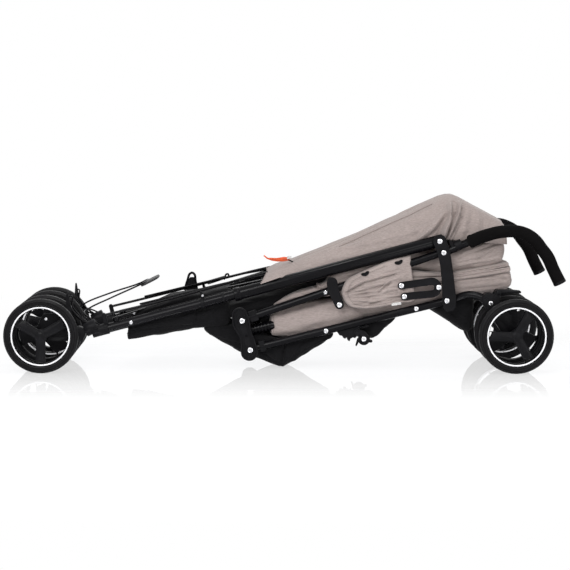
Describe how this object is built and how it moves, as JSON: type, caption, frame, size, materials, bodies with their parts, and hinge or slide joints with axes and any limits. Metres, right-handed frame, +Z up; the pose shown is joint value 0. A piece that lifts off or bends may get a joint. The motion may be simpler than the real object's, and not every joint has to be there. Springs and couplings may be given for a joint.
{
  "type": "stroller",
  "caption": "Folded umbrella stroller lying on its wheels: cane handles, twin caster and fixed wheels, a folding tube frame and gathered seat, canopy and basket cloth.",
  "frame": {"origin": "centre of the bounding box's bottom face, on the ground between the wheels", "axes": "+X from the front wheels to the handles, +Y from the near side to the far side, +Z up"},
  "size_m": [1.1276, 0.348, 0.354],
  "materials": {
    "dark_paint": "satin",
    "dark_plastic": "satin",
    "black_plastic": "semi-gloss",
    "foam": "matt foam",
    "tyre": "matt",
    "steel": "bright",
    "beige_cloth": "woven",
    "black_cloth": "woven"
  },
  "bodies": {
    "frame_near": {"leg_socket_near": "black_plastic", "front_leg_near": "dark_paint", "leg_sleeve_near": "dark_paint", "push_tube_near": "dark_paint", "grip_near": "foam", "hinge_plate_near": "dark_plastic", "stay_near": "dark_plastic", "saddle_near": "dark_plastic", "knuckle_pin_near": "steel", "canopy": "beige_cloth", "seat_bundle": "beige_cloth", "basket": "black_cloth", "foot_cloth": "black_cloth"},
    "frame_far": {"leg_socket_far": "black_plastic", "front_leg_far": "dark_paint", "leg_sleeve_far": "dark_paint", "push_tube_far": "dark_paint", "grip_far": "foam", "hinge_plate_far": "dark_plastic", "stay_far": "dark_plastic", "saddle_far": "dark_plastic", "knuckle_pin_far": "steel"},
    "caster_near": {"fork_near": "black_plastic"},
    "front_wheels_near": {"wheel_front_near_outer": "black_plastic", "wheel_front_near_inner": "black_plastic", "tyre_front_near_outer": "tyre", "tyre_front_near_inner": "tyre", "axle_front_near": "steel"},
    "knuckle_near": {"knuckle_near": "dark_plastic"},
    "rear_leg_near": {"rear_leg_near": "dark_paint", "rear_housing_near": "black_plastic", "rear_leg_pin_near": "steel"},
    "brake_near": {"brake_pedal_near": "black_plastic"},
    "rear_wheels_near": {"wheel_rear_near_outer": "black_plastic", "wheel_rear_near_inner": "black_plastic", "tyre_rear_near_outer": "tyre", "tyre_rear_near_inner": "tyre", "axle_rear_near": "steel"},
    "cross_bar_near": {"cross_bar_near": "dark_paint"},
    "strut_near": {"strut_near": "dark_paint"},
    "caster_far": {"fork_far": "black_plastic"},
    "front_wheels_far": {"wheel_front_far_outer": "black_plastic", "wheel_front_far_inner": "black_plastic", "tyre_front_far_outer": "tyre", "tyre_front_far_inner": "tyre", "axle_front_far": "steel"},
    "knuckle_far": {"knuckle_far": "dark_plastic"},
    "rear_leg_far": {"rear_leg_far": "dark_paint", "rear_housing_far": "black_plastic", "rear_leg_pin_far": "steel"},
    "brake_far": {"brake_pedal_far": "black_plastic"},
    "rear_wheels_far": {"wheel_rear_far_outer": "black_plastic", "wheel_rear_far_inner": "black_plastic", "tyre_rear_far_outer": "tyre", "tyre_rear_far_inner": "tyre", "axle_rear_far": "steel"},
    "cross_bar_far": {"cross_bar_far": "dark_paint"},
    "strut_far": {"strut_far": "dark_paint"}
  },
  "joints": [
    {"name": "spread", "type": "slide", "parent": "frame_near", "child": "frame_far", "axis": [0, 1, 0], "range_m": [0, 0.15], "deforming": ["canopy", "seat_bundle", "basket", "foot_cloth"]},
    {"name": "swivel_near", "type": "hinge", "parent": "frame_near", "child": "caster_near", "pos_m": [-0.40402, -0.094, 0.08162], "axis": [0.9063, 0, 0.4226], "continuous": true},
    {"name": "front_spin_near", "type": "hinge", "parent": "caster_near", "child": "front_wheels_near", "pos_m": [-0.4892, -0.094, 0.075], "axis": [0, 1, 0], "continuous": true},
    {"name": "knuckle_near", "type": "hinge", "parent": "frame_near", "child": "knuckle_near", "pos_m": [-0.08612, -0.094, 0.10201], "axis": [0, 1, 0], "range_deg": [0, 40]},
    {"name": "rear_leg_near", "type": "hinge", "parent": "knuckle_near", "child": "rear_leg_near", "pos_m": [-0.06972, -0.094, 0.04261], "axis": [0, 1, 0], "range_deg": [0, 57]},
    {"name": "brake_near", "type": "hinge", "parent": "rear_leg_near", "child": "brake_near", "pos_m": [0.429, -0.118, 0.16], "axis": [0, 1, 0], "range_deg": [0, 25]},
    {"name": "rear_spin_near", "type": "hinge", "parent": "rear_leg_near", "child": "rear_wheels_near", "pos_m": [0.462, -0.118, 0.075], "axis": [0, 1, 0], "continuous": true},
    {"name": "cross_bar_near", "type": "hinge", "parent": "frame_near", "child": "cross_bar_near", "pos_m": [-0.02915, -0.094, 0.18684], "axis": [0.2546, 0, -0.967], "range_deg": [0, 34.3]},
    {"name": "strut_near", "type": "hinge", "parent": "rear_leg_near", "child": "strut_near", "pos_m": [0.16573, -0.094, 0.09014], "axis": [0.2385, 0, -0.9711], "range_deg": [0, 57]},
    {"name": "swivel_far", "type": "hinge", "parent": "frame_far", "child": "caster_far", "pos_m": [-0.40402, 0.094, 0.08162], "axis": [0.9063, 0, 0.4226], "continuous": true},
    {"name": "front_spin_far", "type": "hinge", "parent": "caster_far", "child": "front_wheels_far", "pos_m": [-0.4892, 0.094, 0.075], "axis": [0, 1, 0], "continuous": true},
    {"name": "knuckle_far", "type": "hinge", "parent": "frame_far", "child": "knuckle_far", "pos_m": [-0.08612, 0.094, 0.10201], "axis": [0, 1, 0], "range_deg": [0, 40]},
    {"name": "rear_leg_far", "type": "hinge", "parent": "knuckle_far", "child": "rear_leg_far", "pos_m": [-0.06972, 0.094, 0.04261], "axis": [0, 1, 0], "range_deg": [0, 57]},
    {"name": "brake_far", "type": "hinge", "parent": "rear_leg_far", "child": "brake_far", "pos_m": [0.429, 0.118, 0.16], "axis": [0, 1, 0], "range_deg": [0, 25]},
    {"name": "rear_spin_far", "type": "hinge", "parent": "rear_leg_far", "child": "rear_wheels_far", "pos_m": [0.462, 0.118, 0.075], "axis": [0, 1, 0], "continuous": true},
    {"name": "cross_bar_far", "type": "hinge", "parent": "frame_far", "child": "cross_bar_far", "pos_m": [-0.02915, 0.094, 0.18684], "axis": [-0.2546, 0, 0.967], "range_deg": [0, 34.3]},
    {"name": "strut_far", "type": "hinge", "parent": "rear_leg_far", "child": "strut_far", "pos_m": [0.16573, 0.094, 0.09014], "axis": [-0.2385, 0, 0.9711], "range_deg": [0, 57]}
  ],
  "couplings": [
    {"joint": "knuckle_near", "follows": "spread", "rad_per_m": 4.6542},
    {"joint": "rear_leg_near", "follows": "spread", "rad_per_m": 6.6322},
    {"joint": "cross_bar_near", "follows": "spread", "rad_per_m": 3.9831},
    {"joint": "strut_near", "follows": "spread", "rad_per_m": 6.6322},
    {"joint": "knuckle_far", "follows": "spread", "rad_per_m": 4.6542},
    {"joint": "rear_leg_far", "follows": "spread", "rad_per_m": 6.6322},
    {"joint": "cross_bar_far", "follows": "spread", "rad_per_m": 3.9831},
    {"joint": "strut_far", "follows": "spread", "rad_per_m": 6.6322}
  ]
}
